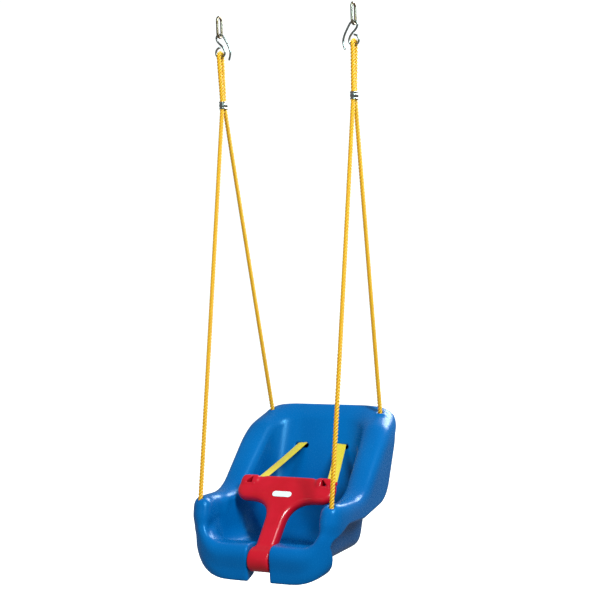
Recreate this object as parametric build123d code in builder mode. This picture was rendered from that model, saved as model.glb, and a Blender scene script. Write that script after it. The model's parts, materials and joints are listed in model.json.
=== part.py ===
"""Toddler bucket swing: a blow-moulded bucket seat on two rope legs a side, with a red T-bar that
swings down over the front rail, two webbing straps, and hooks in two hanger links.

Frame: millimetres, +X to the seated child's left, +Y to the back of the seat, +Z up. The origin is
halfway between the two bearing points at the top of the hanger links, so the whole swing hangs below it.
"""
from build123d import *
import math
import os

# ---------------------------------------------------------------- driving dimensions
HOOK_SPACING = 360.0        # between the two hanging points
LINK_WIRE = 6.0             # hanger link wire diameter
LINK_INNER_LENGTH = 44.0    # clear length inside a link
LINK_INNER_WIDTH = 15.0     # clear width inside a link
HOOK_WIRE = 5.0             # hook wire diameter
HOOK_EYE_DROP = 50.0        # from the hook's bearing point to the wire that carries the rope

ROPE_DIA = 10.0
ROPE_DROP = 1100.0          # from the hooks' bearing line to the seat's armrest level
CRIMP_DROP = 170.0          # from the same line to the middle of the ferrule
FERRULE_LENGTH = 19.0
FERRULE_WALL = 1.4

SEAT_WIDTH = 400.0
SEAT_WALL = 3.0             # skin of the hollow moulding
FLANGE_WIDTH = 62.0         # from the seat's side to the bowl's side wall
LEG_GAP_MARGIN = 8.0        # the opening over the front rail is this much wider than the bowl, each side
HIP_WALL_FRONT = 20.0       # from the bowl's side wall to the bucket's outer face, at the front
HIP_WALL_REAR = 9.0
NOTCH_WIDTH = 57.0          # for the T-bar's barrel

ROPE_HOLE_MARGIN = 1.0      # all round the rope
KNOT_MARGIN = 4.0           # all round the knot, in the recess that hides it
KNOT_POCKET_DEPTH = 20.0    # from the rope hole's mouth to the pocket
FRONT_POCKET_LENGTH = 50.0  # the front pockets open downwards, behind the front corners
REAR_POCKET_LENGTH = 60.0   # the rear pockets open through the back's rear face
FRONT_HOLE = (29.0, -186.0, -15.0)      # a rope hole's mouth: in from the seat's side, back, and up
REAR_HOLE = (49.5, 164.0, 158.0)
KNOT_DIA = 18.0
KNOT_LENGTH = 17.0
WASHER_THICKNESS = 1.5

BARREL_DIA = 54.0
AXLE_DIA = 10.0
AXLE_GRIP = 20.0            # length of axle held in each side of the rail
AXLE_CLEARANCE = 0.05       # radial, between the axle and the barrel
BARREL_Y = -207.0
BARREL_Z = -142.0           # from armrest level
AXLE_WASHER_DIA = 22.0
AXLE_WASHER_THICKNESS = 0.8
BARREL_END_GAP = 0.4

TBAR_SIDE_GAP = 9.5         # from the cross bar's end to the bowl's side wall
TBAR_LENGTH = 228.0         # from the barrel's axis to the top edge
TBAR_HEAD = 66.0            # height of the cross bar
TBAR_THICKNESS = 30.0
TBAR_LEAN = 45.0            # from the vertical, towards the back
POST_WIDTH_LOW = 42.0
POST_WIDTH_HIGH = 54.0
LABEL_SIZE = (50.0, 15.0, 1.0)
LABEL_DROP = 54.0           # from the T-bar's top edge to the label's middle

STRAP_WIDTH = 25.0
STRAP_THICKNESS = 1.6
SLOT_WIDTH = 32.0
SLOT_HEIGHT = 9.0
SLOT_X = 55.6
SLOT_Z = 73.0               # from armrest level, on the back panel's face
STRAP_END_INSET = 32.5      # from the cross bar's end to the middle of the strap's lower end
STRAP_STANDOFF = 5.0        # the strap's free run starts this far in front of the panel
TAB_SIZE = (28.0, 12.0, 3.0)
ANCHOR_SIZE = (44.0, 22.0, 5.0)
GAP = 0.3                   # clearance between pieces that move apart

# ---------------------------------------------------------------- places worked out from them
HOOK_Z = -LINK_INNER_LENGTH
SEAT_Z = HOOK_Z - ROPE_DROP
HALF_SPACING = HOOK_SPACING / 2
SEAT_HALF = SEAT_WIDTH / 2
BOWL_HALF = SEAT_HALF - FLANGE_WIDTH
TBAR_WIDTH = 2 * (BOWL_HALF - TBAR_SIDE_GAP)
STRAP_END_X = TBAR_WIDTH / 2 - STRAP_END_INSET
ROPE_HOLE_DIA = ROPE_DIA + 2 * ROPE_HOLE_MARGIN
KNOT_POCKET_DIA = KNOT_DIA + 2 * KNOT_MARGIN
SIDES = {"left": -1, "right": 1}


def seat_point(x, y, z):
    """A point given from the seat's armrest level."""
    return Vector(x, y, SEAT_Z + z)


# ---------------------------------------------------------------- seat shell
# Each outline point is (y, z, corner radius), with z from armrest level.
SIDE_OUTLINE = [
    (212, 150, 14), (196, 174, 10), (108, 134, 60), (-52, -12, 110), (-186, -8, 40), (-231, -80, 45),
    (-231, -192, 5), (-176, -170, 20), (-150, -158, 25), (44, -160, 60), (92, -70, 60),
]
BOWL_OUTLINE = [
    (280, 300, 5), (184, 198, 5), (166, 152, 20), (76, -80, 60), (40, -146, 45), (-150, -134, 25),
    (-184, -96, 10), (-184, 300, 5),
]
SKIRT_OUTLINE = [
    (300, 215, 5), (222, 162, 10), (150, 105, 30), (79, -40, 80), (-60, -62, 40), (-148, -58, 30), (-205, -92, 20),
    (-190, -150, 20), (-190, -240, 5), (300, -240, 5),
]
SEAT_TOP = 174.0
SEAT_BOTTOM = -192.0
RAIL_TOP = -105.0
SEAT_FRONT = -231.0
REACH = 540.0               # longer than any cut has to be
TRIM = 1.0                  # each view's outline clears the one before it by this much
TOP_CORNER_RADIUS = 84.0
BOTTOM_CORNER_RADIUS = 105.0
PLAN_CORNER_RADIUS = 85.0
LEG_GAP_RADIUS = 44.0
LEG_GAP_REAR = -120.0
NOTCH_REAR = -146.0
HIP_FRONT_Y = -260.0        # the bucket's plan is drawn square to the back panel
HIP_REAR_Y = 145.0
HIP_REAR_RADIUS = 90.0
HIP_BOTTOM = -160.0
HIP_BOTTOM_RADIUS = 40.0
BOWL_REAR_RADIUS = 60.0

# The back panel's face, as a line through two points of the bowl's outline.
PANEL_TOP, PANEL_LOW = BOWL_OUTLINE[2], BOWL_OUTLINE[3]
PANEL_SLOPE = (PANEL_TOP[0] - PANEL_LOW[0]) / (PANEL_TOP[1] - PANEL_LOW[1])
PANEL_ANGLE = math.atan(PANEL_SLOPE)
PANEL_NORMAL = Vector(0, -math.cos(PANEL_ANGLE), math.sin(PANEL_ANGLE))
PANEL_UP = Vector(0, math.sin(PANEL_ANGLE), math.cos(PANEL_ANGLE))
PANEL_Y = PANEL_LOW[0] * math.cos(PANEL_ANGLE) - PANEL_LOW[1] * math.sin(PANEL_ANGLE)


def side_face(outline, x, grow=0.0):
    """A closed outline in the plane X = x, grown (or shrunk) evenly."""
    with BuildSketch(Plane(origin=(x, 0, SEAT_Z), x_dir=(0, 1, 0), z_dir=(1, 0, 0))) as face:
        with BuildLine():
            FilletPolyline(*[(y, z) for y, z, _ in outline], radius=[r for _, _, r in outline], close=True)
        make_face()
        if grow:
            offset(amount=grow)
    return face.sketch


def front_plane(y):
    """A plane that faces the front, at the given depth, with its origin at armrest level."""
    return Plane(origin=(0, y, SEAT_Z), x_dir=(1, 0, 0), z_dir=(0, -1, 0))


def leaning_prism(front_half, rear_half, rear_y, radius):
    """An endless prism that leans with the back panel, with rounded rear corners."""
    with BuildPart() as prism:
        with BuildSketch(Plane(origin=(0, 0, SEAT_Z), x_dir=(1, 0, 0), z_dir=PANEL_UP)):
            with BuildLine():
                FilletPolyline((-front_half, HIP_FRONT_Y), (front_half, HIP_FRONT_Y), (rear_half, rear_y),
                               (-rear_half, rear_y), radius=[1, 1, radius, radius], close=True)
            make_face()
        extrude(amount=REACH, both=True)
    return prism.part


def bowl(inset):
    """What is taken out for the child, grown by inset."""
    half = BOWL_HALF + inset
    with BuildPart() as space:
        extrude(side_face(BOWL_OUTLINE, 0, inset), amount=half, both=True)
        add(leaning_prism(half, half, PANEL_Y + inset, BOWL_REAR_RADIUS + inset), mode=Mode.INTERSECT)
    return space.part


def skirt(inset):
    """What is taken away below the flange, grown by inset: all but the bucket's hips."""
    front_half, rear_half = BOWL_HALF + HIP_WALL_FRONT - inset, BOWL_HALF + HIP_WALL_REAR - inset
    with BuildPart() as hips:
        add(leaning_prism(front_half, rear_half, HIP_REAR_Y - inset, HIP_REAR_RADIUS - inset))
        with BuildSketch(front_plane(0)):
            with Locations((0, HIP_BOTTOM + inset + REACH / 2)):
                RectangleRounded(2 * front_half, REACH, HIP_BOTTOM_RADIUS - inset)
        extrude(amount=REACH, both=True, mode=Mode.INTERSECT)
    with BuildPart() as away:
        extrude(side_face(SKIRT_OUTLINE, 0, inset), amount=SEAT_WIDTH, both=True)
        add(hips.part, mode=Mode.SUBTRACT)
    return away.part


def seat_form(inset):
    """The seat's outer form, with every face moved in by inset."""
    half = SEAT_HALF - inset
    top, bottom = SEAT_TOP + TRIM - inset, SEAT_BOTTOM - TRIM + inset
    with BuildPart() as form:
        extrude(side_face(SIDE_OUTLINE, 0, -inset), amount=SEAT_WIDTH, both=True)
        with BuildSketch(front_plane(0)):
            with BuildLine():
                FilletPolyline(
                    (-half, bottom), (half, bottom), (half, top), (-half, top), close=True,
                    radius=[r - inset for r in (BOTTOM_CORNER_RADIUS, BOTTOM_CORNER_RADIUS,
                                                TOP_CORNER_RADIUS, TOP_CORNER_RADIUS)],
                )
            make_face()
        extrude(amount=REACH, both=True, mode=Mode.INTERSECT)
        with BuildSketch(Plane.XY.offset(SEAT_Z - REACH / 2)):
            with Locations((0, SEAT_FRONT + REACH / 2)):
                RectangleRounded(2 * (half + TRIM), REACH - 2 * inset, PLAN_CORNER_RADIUS - inset)
        extrude(amount=REACH, mode=Mode.INTERSECT)
        add(skirt(inset), mode=Mode.SUBTRACT)
        add(bowl(inset), mode=Mode.SUBTRACT)
        with BuildSketch(front_plane(LEG_GAP_REAR + inset)):
            with Locations((0, RAIL_TOP + REACH / 2)):
                RectangleRounded(2 * (BOWL_HALF + LEG_GAP_MARGIN + inset), REACH + 2 * inset,
                                 LEG_GAP_RADIUS + inset)
        extrude(amount=REACH, mode=Mode.SUBTRACT)
        with BuildSketch(front_plane(NOTCH_REAR + inset)):
            Rectangle(NOTCH_WIDTH + 2 * inset, 2 * REACH)
        extrude(amount=REACH, mode=Mode.SUBTRACT)
    return form.part


# The rope's two legs leave the ferrule side by side and run straight to their holes.
STRAND_OFFSET = ROPE_DIA / 2 + 0.15
CRIMP_X = HALF_SPACING - 3.4
FERRULE_HALF = FERRULE_LENGTH / 2


def leg_start(side, front):
    y = -STRAND_OFFSET if front else STRAND_OFFSET
    return Vector(side * CRIMP_X, y, HOOK_Z - CRIMP_DROP - FERRULE_HALF)


def hole_point(side, front):
    inset, y, z = FRONT_HOLE if front else REAR_HOLE
    return seat_point(side * (SEAT_HALF - inset), y, z)


def leg_direction(side, front):
    return (hole_point(side, front) - leg_start(side, front)).normalized()


def along_leg(side, front, distance):
    """A plane across a rope leg, at a distance past its hole's mouth, that faces down the leg."""
    way = leg_direction(side, front)
    return Plane(origin=hole_point(side, front) + way * distance, z_dir=way)


LEGS = [(name, side, front) for name, side in SIDES.items() for front in (True, False)]
HOLE_LEAD = 60.0            # the rope holes are cut from this far above their mouths
BOSS_START = 12.0           # a boss starts this far below its hole's mouth

SLOT_Y = PANEL_LOW[0] + (SLOT_Z - PANEL_LOW[1]) * PANEL_SLOPE
REAR_TOP, REAR_LOW = SIDE_OUTLINE[0], SIDE_OUTLINE[-1]
REAR_ANGLE = math.atan((REAR_TOP[0] - REAR_LOW[0]) / (REAR_TOP[1] - REAR_LOW[1]))
REAR_NORMAL = Vector(0, math.cos(REAR_ANGLE), -math.sin(REAR_ANGLE))


def boss(side, front):
    """A thick spot round a rope hole, which the knot's washer bears on."""
    with BuildPart() as lump:
        with BuildSketch(along_leg(side, front, BOSS_START)):
            Circle(KNOT_POCKET_DIA / 2 + SEAT_WALL)
        extrude(amount=KNOT_POCKET_DEPTH - BOSS_START)
    return lump.part


def pocket(side, front, wall=0.0):
    """The recess behind a rope hole, grown by wall: it holds the knot, and opens below or behind."""
    depth = KNOT_POCKET_DIA + 2 * wall
    middle = along_leg(side, front, KNOT_POCKET_DEPTH + KNOT_POCKET_DIA / 2).origin
    way, length = (Vector(0, 0, -1), FRONT_POCKET_LENGTH) if front else (REAR_NORMAL, REAR_POCKET_LENGTH)
    with BuildPart() as recess:
        with BuildSketch(along_leg(side, front, KNOT_POCKET_DEPTH - wall)):
            Circle(KNOT_POCKET_DIA / 2 + wall)
        extrude(amount=depth)
        with BuildSketch(Plane(origin=middle, z_dir=way)):
            Circle(KNOT_POCKET_DIA / 2 + wall)
        extrude(amount=length)
    return recess.part


def slot_plane(side):
    return Plane(origin=seat_point(side * SLOT_X, SLOT_Y, SLOT_Z), x_dir=(1, 0, 0), z_dir=PANEL_NORMAL)


def rear_plane(side):
    """The back's rear face, straight behind a slot."""
    start = seat_point(side * SLOT_X, SLOT_Y, SLOT_Z)
    rear = seat_point(side * SLOT_X, REAR_TOP[0], REAR_TOP[1])
    depth = (rear - start).dot(REAR_NORMAL) / (PANEL_NORMAL * -1).dot(REAR_NORMAL)
    return Plane(origin=start - PANEL_NORMAL * depth, x_dir=(1, 0, 0), z_dir=REAR_NORMAL)


AXLE_PLANE = Plane(origin=(0, BARREL_Y, SEAT_Z + BARREL_Z), x_dir=(0, 1, 0), z_dir=(1, 0, 0))
AXLE_LENGTH = NOTCH_WIDTH + 2 * AXLE_GRIP
SLOT_REACH = 60.0

with BuildPart() as hollow:
    add(seat_form(SEAT_WALL))
    for _, side, front in LEGS:
        with BuildSketch(along_leg(side, front, -HOLE_LEAD)):
            Circle(ROPE_HOLE_DIA / 2 + SEAT_WALL)
        extrude(amount=HOLE_LEAD + KNOT_POCKET_DEPTH, mode=Mode.SUBTRACT)
        add(pocket(side, front, SEAT_WALL), mode=Mode.SUBTRACT)
    for side in SIDES.values():
        with BuildSketch(slot_plane(side)):
            Rectangle(SLOT_WIDTH + 2 * SEAT_WALL, SLOT_HEIGHT + 2 * SEAT_WALL)
        extrude(amount=SLOT_REACH, both=True, mode=Mode.SUBTRACT)
    with BuildSketch(AXLE_PLANE):
        Circle(AXLE_DIA / 2 + SEAT_WALL)
    extrude(amount=AXLE_LENGTH / 2 + SEAT_WALL, both=True, mode=Mode.SUBTRACT)

with BuildPart() as seat_shell:
    add(seat_form(0))
    add(hollow.part, mode=Mode.SUBTRACT)
    for side in SIDES.values():
        add(boss(side, False))
    for _, side, front in LEGS:
        with BuildSketch(along_leg(side, front, -HOLE_LEAD)):
            Circle(ROPE_HOLE_DIA / 2)
        extrude(amount=HOLE_LEAD + KNOT_POCKET_DEPTH + 1, mode=Mode.SUBTRACT)
        add(pocket(side, front), mode=Mode.SUBTRACT)
    for side in SIDES.values():
        with BuildSketch(slot_plane(side)):
            RectangleRounded(SLOT_WIDTH, SLOT_HEIGHT, SLOT_HEIGHT / 2 - 0.1)
        extrude(amount=SLOT_REACH, both=True, mode=Mode.SUBTRACT)
    with BuildSketch(AXLE_PLANE):
        Circle(AXLE_DIA / 2)
    extrude(amount=AXLE_LENGTH / 2, both=True, mode=Mode.SUBTRACT)

# ---------------------------------------------------------------- T-bar, its axle and washers
with BuildPart() as t_bar_axle:
    with BuildSketch(AXLE_PLANE):
        Circle(AXLE_DIA / 2)
    extrude(amount=AXLE_LENGTH / 2, both=True)

LEAN = math.radians(TBAR_LEAN)
TBAR_PLANE = Plane(origin=(0, BARREL_Y, SEAT_Z + BARREL_Z), x_dir=(1, 0, 0),
                   z_dir=(0, -math.cos(LEAN), math.sin(LEAN)))
BARREL_WIDTH = NOTCH_WIDTH - 2 * (AXLE_WASHER_THICKNESS + BARREL_END_GAP)
HEAD_MIDDLE = TBAR_LENGTH - TBAR_HEAD / 2
HEAD_RADIUS = 30.0
POST_FILLET = 44.0
EDGE_FILLET = 7.0
LOOP_INSET = 29.5
LOOP_SIZE = (15.0, 9.0)     # openings near the ends of the cross bar, where a strap can be passed
LOOP_X = TBAR_WIDTH / 2 - LOOP_INSET
LOOP_UP = TBAR_LENGTH - 18.0
TBAR_WALL = 3.0
BARREL_SOLID = BARREL_DIA / 2 + 7.0     # the post is solid this far up from the axle


def t_bar_form(inset):
    """The post and cross bar, with every face moved in by inset."""
    with BuildPart() as form:
        with BuildSketch(TBAR_PLANE) as t_face:
            with BuildLine():
                Polyline((-POST_WIDTH_LOW / 2, 0), (-POST_WIDTH_HIGH / 2, HEAD_MIDDLE),
                         (POST_WIDTH_HIGH / 2, HEAD_MIDDLE), (POST_WIDTH_LOW / 2, 0), close=True)
            make_face()
            with Locations((0, HEAD_MIDDLE)):
                RectangleRounded(TBAR_WIDTH, TBAR_HEAD, HEAD_RADIUS)
            armpits = t_face.vertices().filter_by(lambda v: abs(abs(v.X) - POST_WIDTH_HIGH / 2) < 3)
            fillet(armpits, POST_FILLET)
            if inset:
                offset(amount=-inset)
        extrude(amount=TBAR_THICKNESS / 2 - inset, both=True)
        if not inset:
            rim_edges = form.edges().filter_by(
                lambda e: abs(abs(TBAR_PLANE.to_local_coords(e.center()).Z) - TBAR_THICKNESS / 2) < 0.01
                and TBAR_PLANE.to_local_coords(e.center()).Y > 1
            )
            fillet(rim_edges, EDGE_FILLET)
    return form.part


with BuildPart() as t_bar_hollow:
    add(t_bar_form(TBAR_WALL + EDGE_FILLET / 4))
    with BuildSketch(AXLE_PLANE):
        Circle(BARREL_SOLID)
    extrude(amount=TBAR_WIDTH, both=True, mode=Mode.SUBTRACT)
    with BuildSketch(TBAR_PLANE):
        with Locations((-LOOP_X, LOOP_UP), (LOOP_X, LOOP_UP)):
            Rectangle(LOOP_SIZE[0] + 2 * TBAR_WALL, LOOP_SIZE[1] + 2 * TBAR_WALL)
    extrude(amount=TBAR_THICKNESS, both=True, mode=Mode.SUBTRACT)

with BuildPart() as t_bar:
    add(t_bar_form(0))
    add(t_bar_hollow.part, mode=Mode.SUBTRACT)
    with BuildSketch(AXLE_PLANE):
        Circle(BARREL_DIA / 2)
    extrude(amount=BARREL_WIDTH / 2, both=True)
    with BuildSketch(TBAR_PLANE):
        with Locations((-LOOP_X, LOOP_UP), (LOOP_X, LOOP_UP)):
            RectangleRounded(*LOOP_SIZE, 3)
    extrude(amount=TBAR_THICKNESS, both=True, mode=Mode.SUBTRACT)
    with BuildSketch(AXLE_PLANE):
        Circle(AXLE_DIA / 2 + AXLE_CLEARANCE)
    extrude(amount=BARREL_WIDTH, both=True, mode=Mode.SUBTRACT)

with BuildPart() as label_plate:
    with BuildSketch(TBAR_PLANE.offset(TBAR_THICKNESS / 2)):
        with Locations((0, TBAR_LENGTH - LABEL_DROP)):
            RectangleRounded(LABEL_SIZE[0], LABEL_SIZE[1], LABEL_SIZE[1] / 2 - 0.1)
    extrude(amount=LABEL_SIZE[2])

axle_washers = {}
for name, side in SIDES.items():
    with BuildPart() as washer:
        with BuildSketch(AXLE_PLANE.offset(side * NOTCH_WIDTH / 2)):
            Circle(AXLE_WASHER_DIA / 2)
            Circle(AXLE_DIA / 2 + GAP, mode=Mode.SUBTRACT)
        extrude(amount=-side * AXLE_WASHER_THICKNESS)
    axle_washers[name] = washer.part

# ---------------------------------------------------------------- hanger links and hooks
LINK_MIDDLE_Z = -LINK_INNER_LENGTH / 2
LINK_TURN = (LINK_INNER_WIDTH + LINK_WIRE) / 2
LINK_HALF = (LINK_INNER_LENGTH + LINK_WIRE) / 2
with BuildPart() as hanger_right:
    with BuildLine() as link_path:
        link_corners = [(HALF_SPACING, y * LINK_TURN, LINK_MIDDLE_Z + z * LINK_HALF)
                        for y, z in ((-1, 1), (1, 1), (1, -1), (-1, -1))]
        FilletPolyline(*link_corners, radius=LINK_TURN * 0.98, close=True)
    start = link_path.edges().filter_by(GeomType.LINE).sort_by(SortBy.LENGTH)[-1]
    with BuildSketch(Plane(origin=start @ 0, z_dir=start % 0)):
        Circle(LINK_WIRE / 2)
    sweep(path=link_path.wires()[0])

# The hook's wire, in a plane across the swing: (x, z, corner radius) from its bearing point.
HOOK_RISE = HOOK_WIRE / 2 + GAP
HOOK_ROUTE = [
    (-24, -60, 0), (-28, -34, 14), (-9, HOOK_RISE, 8), (9.5, HOOK_RISE, 8), (8, -14, 8), (-12, -32, 10),
    (-12, -HOOK_EYE_DROP, 9.5), (12, -HOOK_EYE_DROP, 9.5), (10, -22, 0),
]
with BuildPart() as hook_right:
    with BuildLine() as hook_path:
        FilletPolyline(*[(HALF_SPACING + x, 0, HOOK_Z + z) for x, z, _ in HOOK_ROUTE],
                       radius=[r for _, _, r in HOOK_ROUTE[1:-1]])
    with BuildSketch(Plane(origin=hook_path.wires()[0] @ 0, z_dir=hook_path.wires()[0] % 0)):
        Circle(HOOK_WIRE / 2)
    sweep(path=hook_path.wires()[0])

# ---------------------------------------------------------------- ropes, ferrules, knots and washers
EYE_RADIUS = (HOOK_WIRE + ROPE_DIA) / 2 + GAP
EYE_Z = HOOK_Z - HOOK_EYE_DROP
ROPE_END = KNOT_POCKET_DEPTH + WASHER_THICKNESS


def rope_route(side):
    """The rope's corner points, from the front knot over the hook's eye to the rear knot."""
    crimp_low = HOOK_Z - CRIMP_DROP - FERRULE_HALF
    crimp_high = crimp_low + FERRULE_LENGTH
    points = [along_leg(side, True, ROPE_END).origin, leg_start(side, True),
              Vector(side * CRIMP_X, -STRAND_OFFSET, crimp_high),
              Vector(side * HALF_SPACING, -EYE_RADIUS, EYE_Z + EYE_RADIUS),
              Vector(side * HALF_SPACING, EYE_RADIUS, EYE_Z + EYE_RADIUS),
              Vector(side * CRIMP_X, STRAND_OFFSET, crimp_high),
              leg_start(side, False), along_leg(side, False, ROPE_END).origin]
    return points


def bend_radii(points, most):
    """Each corner's radius: as large as its two runs allow, or the given most."""
    radii = []
    for i in range(1, len(points) - 1):
        before, after = points[i] - points[i - 1], points[i + 1] - points[i]
        half_turn = math.radians(before.get_angle(after)) / 2
        room = 0.45 * min(before.length, after.length) / math.tan(half_turn)
        radii.append(min(room, most.get(i, room)))
    return radii


ropes = {}
for name, side in SIDES.items():
    route = rope_route(side)
    radii = bend_radii(route, {3: EYE_RADIUS * 0.97, 4: EYE_RADIUS * 0.97})
    with BuildPart() as rope:
        with BuildLine() as rope_path:
            FilletPolyline(*route, radius=radii)
        rope_wire = rope_path.wires()[0]
        with BuildSketch(Plane(origin=rope_wire @ 0, z_dir=rope_wire % 0)):
            Circle(ROPE_DIA / 2)
        sweep(path=rope_wire)
    ropes[name] = rope.part
    section = math.pi * ROPE_DIA ** 2 / 4
    print("rope", name, "length", round(rope_wire.length, 1), "radii", [round(r, 1) for r in radii],
          "volume / (section x length)", round(rope.part.volume / (section * rope_wire.length), 4))

FERRULE_BORE = (ROPE_DIA + 0.2, 2 * STRAND_OFFSET + ROPE_DIA + 0.2)
with BuildPart() as ferrule_right:
    with BuildSketch(Plane(origin=(CRIMP_X, 0, HOOK_Z - CRIMP_DROP - FERRULE_HALF))):
        RectangleRounded(FERRULE_BORE[0] + 2 * FERRULE_WALL, FERRULE_BORE[1] + 2 * FERRULE_WALL,
                         FERRULE_BORE[0] / 2 + FERRULE_WALL - 0.05)
        RectangleRounded(FERRULE_BORE[0], FERRULE_BORE[1], FERRULE_BORE[0] / 2 - 0.05, mode=Mode.SUBTRACT)
    extrude(amount=FERRULE_LENGTH)

knots, rope_washers = {}, {}
for name, side, front in LEGS:
    place = ("front_" if front else "rear_") + name
    with BuildPart() as washer:
        with BuildSketch(along_leg(side, front, KNOT_POCKET_DEPTH)):
            Circle(KNOT_POCKET_DIA / 2 - 1)
            Circle(ROPE_DIA / 2 + GAP, mode=Mode.SUBTRACT)
        extrude(amount=WASHER_THICKNESS)
    rope_washers[place] = washer.part
    with BuildPart() as knot:
        with BuildSketch(along_leg(side, front, ROPE_END)):
            Circle(KNOT_DIA / 2)
        extrude(amount=KNOT_LENGTH)
        fillet(knot.edges(), KNOT_LENGTH / 3)
    knots[place] = knot.part

# ---------------------------------------------------------------- straps
TBAR_CORNER_Y = BARREL_Y + TBAR_LENGTH * math.sin(LEAN) + TBAR_THICKNESS / 2 * math.cos(LEAN)
TBAR_CORNER_Z = BARREL_Z + TBAR_LENGTH * math.cos(LEAN) - TBAR_THICKNESS / 2 * math.sin(LEAN)
STRAP_END_OUT = (18.0, 2.0)     # the strap's lower end from the T-bar's upper rear edge, back and up


def strap_plane(side):
    """A plane at the strap's upper end: its X runs down the strap, and its Z is the webbing's face."""
    upper = slot_plane(side).origin + PANEL_NORMAL * STRAP_STANDOFF
    back, up = STRAP_END_OUT
    lower = seat_point(side * STRAP_END_X, TBAR_CORNER_Y + back, TBAR_CORNER_Z + up)
    run = lower - upper
    flat = Vector(run.Y, -run.X, 0).normalized()
    return Plane(origin=upper, x_dir=run, z_dir=run.normalized().cross(flat)), run.length


straps, strap_tabs, strap_anchors = {}, {}, {}
for name, side in SIDES.items():
    plane, strap_length = strap_plane(side)
    with BuildPart() as strap:
        with BuildSketch(plane):
            with Locations((strap_length / 2, 0)):
                Rectangle(strap_length, STRAP_WIDTH)
        extrude(amount=STRAP_THICKNESS / 2, both=True)
    straps[name] = strap.part
    with BuildPart() as tab:
        with BuildSketch(plane):
            with Locations((strap_length + TAB_SIZE[1] / 2, 0)):
                RectangleRounded(TAB_SIZE[1], TAB_SIZE[0], 3)
        extrude(amount=TAB_SIZE[2] / 2, both=True)
    strap_tabs[name] = tab.part
    with BuildPart() as anchor:
        with BuildSketch(rear_plane(side)):
            RectangleRounded(ANCHOR_SIZE[0], ANCHOR_SIZE[1], 4)
        extrude(amount=ANCHOR_SIZE[2])
    strap_anchors[name] = anchor.part
    print("strap", name, "free length", round(strap_length, 1))

# ---------------------------------------------------------------- write every piece
os.makedirs("parts", exist_ok=True)


def write(shape, name):
    shape.label = name
    export_step(shape, f"parts/{name}.step")


write(seat_shell.part, "seat_shell")
write(t_bar.part, "t_bar")
write(t_bar_axle.part, "t_bar_axle")
write(label_plate.part, "label_plate")
write(hanger_right.part, "hanger_right")
write(mirror(hanger_right.part, about=Plane.YZ), "hanger_left")
write(hook_right.part, "hook_right")
write(mirror(hook_right.part, about=Plane.YZ), "hook_left")
write(ferrule_right.part, "ferrule_right")
write(mirror(ferrule_right.part, about=Plane.YZ), "ferrule_left")
for pieces, stem in (
    (axle_washers, "axle_washer"), (ropes, "rope"), (knots, "rope_knot"), (rope_washers, "rope_washer"),
    (straps, "strap"), (strap_tabs, "strap_tab"), (strap_anchors, "strap_anchor"),
):
    for place, shape in pieces.items():
        write(shape, f"{stem}_{place}")
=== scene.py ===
# %% [markdown]
# # A toddler bucket swing
# The real thing is a hollow blue seat, blown into a mould, that hangs on a doubled yellow rope each side.
# A red T-bar turns on an axle in the front rail and closes the seat, and two webbing straps hold it back.
# The engineering model gives every piece its place. This lesson gives the pieces their looks.

# %% Load the frame
import json
import math
import bpy
import numpy as np
from mathutils import Matrix, Vector


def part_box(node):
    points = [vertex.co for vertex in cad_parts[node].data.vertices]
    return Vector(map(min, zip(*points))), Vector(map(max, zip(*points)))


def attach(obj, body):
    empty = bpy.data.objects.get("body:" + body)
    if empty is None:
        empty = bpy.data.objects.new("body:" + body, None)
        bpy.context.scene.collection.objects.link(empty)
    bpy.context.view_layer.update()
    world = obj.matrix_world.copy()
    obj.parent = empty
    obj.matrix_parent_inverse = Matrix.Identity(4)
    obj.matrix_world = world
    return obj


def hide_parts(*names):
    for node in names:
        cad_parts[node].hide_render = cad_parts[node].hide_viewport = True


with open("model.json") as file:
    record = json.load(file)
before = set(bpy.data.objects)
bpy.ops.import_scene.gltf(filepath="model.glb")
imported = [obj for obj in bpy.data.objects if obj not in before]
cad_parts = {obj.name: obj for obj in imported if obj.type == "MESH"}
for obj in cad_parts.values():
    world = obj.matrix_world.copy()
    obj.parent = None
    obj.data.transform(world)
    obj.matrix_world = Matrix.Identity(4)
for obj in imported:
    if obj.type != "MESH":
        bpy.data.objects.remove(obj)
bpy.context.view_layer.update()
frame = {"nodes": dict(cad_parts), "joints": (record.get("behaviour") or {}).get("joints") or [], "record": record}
joints = {j["name"]: j for j in frame["joints"]}
print("pieces in the frame:", len(frame["nodes"]))

# %% [markdown]
# All sizes below are millimetres, as a maker would write them, and MM turns them into Blender's metres.
# The joints say where the hooks bear, where the barrel turns and where the straps leave the back. The
# seat's own outlines are measured from the level of its armrests, which lies 142 mm above the barrel.

# %% Places taken from the joints
MM = 0.001
barrel = Vector(joints["t_bar_swing"]["pos_m"]) / MM
ARM_Z = barrel.z + 142
EYE_Z = joints["seat_rock"]["pos_m"][2] / MM
HOOK_Z = EYE_Z + 50
strap_roots = {s: Vector(joints[f"strap_lift_{s}"]["pos_m"]) / MM for s in ("left", "right")}
HALF_SPACING = (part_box("hook_right")[0].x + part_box("hook_right")[1].x) / 2 / MM + 7.4
SIDES = {"left": -1, "right": 1}
print("armrest level", round(ARM_Z, 1), "eye", round(EYE_Z, 1), "hook spacing", round(2 * HALF_SPACING, 1))

# %% [markdown]
# A blown moulding has no sharp edge anywhere: the plastic stretches over every corner of the mould and
# rounds it. Bevels on a mesh meet badly where many edges of different radius run together, and a
# subdivision cage of such a form is hard to keep fair. So the form is written as a distance: a function
# that says how far any point is from the surface. Two forms are joined or cut by taking the smaller or
# larger distance, and a blend width rounds the corner between them, as the mould does.

# %% Distance helpers
def blend_max(a, b, width):
    """The overlap of two forms, with the corner between them rounded."""
    mix = np.clip(0.5 + 0.5 * (a - b) / width, 0, 1)
    return b + (a - b) * mix + width * mix * (1 - mix)


def blend_min(a, b, width):
    """Two forms joined, with a fillet between them."""
    return -blend_max(-a, -b, width)


def cut(form, tool, width):
    """A form with a tool taken out of it, and a rounded lip."""
    return blend_max(form, -tool, width)


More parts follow.
